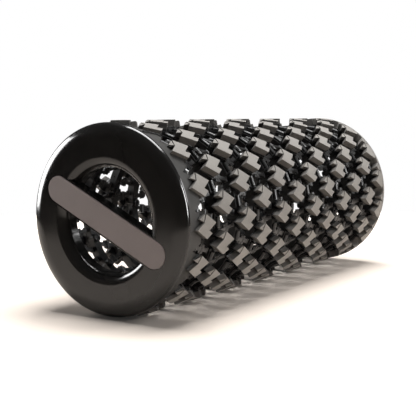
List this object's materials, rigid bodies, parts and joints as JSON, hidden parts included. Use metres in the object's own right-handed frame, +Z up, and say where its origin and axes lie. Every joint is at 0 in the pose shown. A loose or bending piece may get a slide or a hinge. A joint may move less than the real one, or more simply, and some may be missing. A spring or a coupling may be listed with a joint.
{
  "type": "foam roller",
  "caption": "Hollow massage roller that pushes shut along its length: rings of angled foam pads on hoops joined by folding links, between two round end rings with grip bars.",
  "frame": {"origin": "bottom centre of the open roller's bounding box: on the ground under the middle of its length, the roller's axis one pad radius above", "axes": "+X along the roller from the near end (root) to the far end; +Y to the side; +Z up"},
  "size_m": [0.3392, 0.14, 0.14],
  "materials": {
    "gloss_black": "gloss",
    "grip": "satin",
    "collar": "matte",
    "rim": "matte",
    "pad_foam": "matte, finely grained",
    "frame_black": "satin",
    "link_black": "satin",
    "screw_steel": "satin"
  },
  "bodies": {
    "near_end": {"near_end_ring": "gloss_black", "near_grip_pad": "grip", "near_flange": "collar", "near_collar": "collar", "near_screws": "screw_steel", "hoop_1": "frame_black", "pads_1": "pad_foam", "plugs_1": "frame_black", "links_1": "link_black"},
    "ring_2": {"hoop_2": "frame_black", "pads_2": "pad_foam", "plugs_2": "frame_black", "links_2": "link_black"},
    "ring_3": {"hoop_3": "frame_black", "pads_3": "pad_foam", "plugs_3": "frame_black", "links_3": "link_black"},
    "ring_4": {"hoop_4": "frame_black", "pads_4": "pad_foam", "plugs_4": "frame_black", "links_4": "link_black"},
    "ring_5": {"hoop_5": "frame_black", "pads_5": "pad_foam", "plugs_5": "frame_black", "links_5": "link_black"},
    "ring_6": {"hoop_6": "frame_black", "pads_6": "pad_foam", "plugs_6": "frame_black", "links_6": "link_black"},
    "ring_7": {"hoop_7": "frame_black", "pads_7": "pad_foam", "plugs_7": "frame_black", "links_7": "link_black"},
    "ring_8": {"hoop_8": "frame_black", "pads_8": "pad_foam", "plugs_8": "frame_black", "links_8": "link_black"},
    "ring_9": {"hoop_9": "frame_black", "pads_9": "pad_foam", "plugs_9": "frame_black", "links_9": "link_black"},
    "ring_10": {"hoop_10": "frame_black", "pads_10": "pad_foam", "plugs_10": "frame_black", "links_10": "link_black"},
    "ring_11": {"hoop_11": "frame_black", "pads_11": "pad_foam", "plugs_11": "frame_black", "links_11": "link_black"},
    "far_end": {"hoop_12": "frame_black", "pads_12": "pad_foam", "plugs_12": "frame_black", "far_end_ring": "gloss_black", "far_grip_pad": "grip", "far_collar": "rim", "far_screws": "screw_steel"}
  },
  "joints": [
    {"name": "fold", "type": "slide", "parent": "near_end", "child": "far_end", "axis": [-1, 0, 0], "range_m": [0, 0.18814], "deforming": ["links_1", "links_2", "links_3", "links_4", "links_5", "links_6", "links_7", "links_8", "links_9", "links_10", "links_11"]},
    {"name": "ring_2_slide", "type": "slide", "parent": "near_end", "child": "ring_2", "axis": [-1, 0, 0], "range_m": [0, 0.01594]},
    {"name": "ring_3_slide", "type": "slide", "parent": "near_end", "child": "ring_3", "axis": [-1, 0, 0], "range_m": [0, 0.03468]},
    {"name": "ring_4_slide", "type": "slide", "parent": "near_end", "child": "ring_4", "axis": [-1, 0, 0], "range_m": [0, 0.05042]},
    {"name": "ring_5_slide", "type": "slide", "parent": "near_end", "child": "ring_5", "axis": [-1, 0, 0], "range_m": [0, 0.06916]},
    {"name": "ring_6_slide", "type": "slide", "parent": "near_end", "child": "ring_6", "axis": [-1, 0, 0], "range_m": [0, 0.0849]},
    {"name": "ring_7_slide", "type": "slide", "parent": "near_end", "child": "ring_7", "axis": [-1, 0, 0], "range_m": [0, 0.10364]},
    {"name": "ring_8_slide", "type": "slide", "parent": "near_end", "child": "ring_8", "axis": [-1, 0, 0], "range_m": [0, 0.11938]},
    {"name": "ring_9_slide", "type": "slide", "parent": "near_end", "child": "ring_9", "axis": [-1, 0, 0], "range_m": [0, 0.13812]},
    {"name": "ring_10_slide", "type": "slide", "parent": "near_end", "child": "ring_10", "axis": [-1, 0, 0], "range_m": [0, 0.15386]},
    {"name": "ring_11_slide", "type": "slide", "parent": "near_end", "child": "ring_11", "axis": [-1, 0, 0], "range_m": [0, 0.1726]}
  ],
  "couplings": [
    {"joint": "ring_2_slide", "follows": "fold", "ratio": 0.083661},
    {"joint": "ring_3_slide", "follows": "fold", "ratio": 0.18327},
    {"joint": "ring_4_slide", "follows": "fold", "ratio": 0.26693},
    {"joint": "ring_5_slide", "follows": "fold", "ratio": 0.36654},
    {"joint": "ring_6_slide", "follows": "fold", "ratio": 0.4502},
    {"joint": "ring_7_slide", "follows": "fold", "ratio": 0.5498},
    {"joint": "ring_8_slide", "follows": "fold", "ratio": 0.63346},
    {"joint": "ring_9_slide", "follows": "fold", "ratio": 0.73307},
    {"joint": "ring_10_slide", "follows": "fold", "ratio": 0.81673},
    {"joint": "ring_11_slide", "follows": "fold", "ratio": 0.91634}
  ]
}
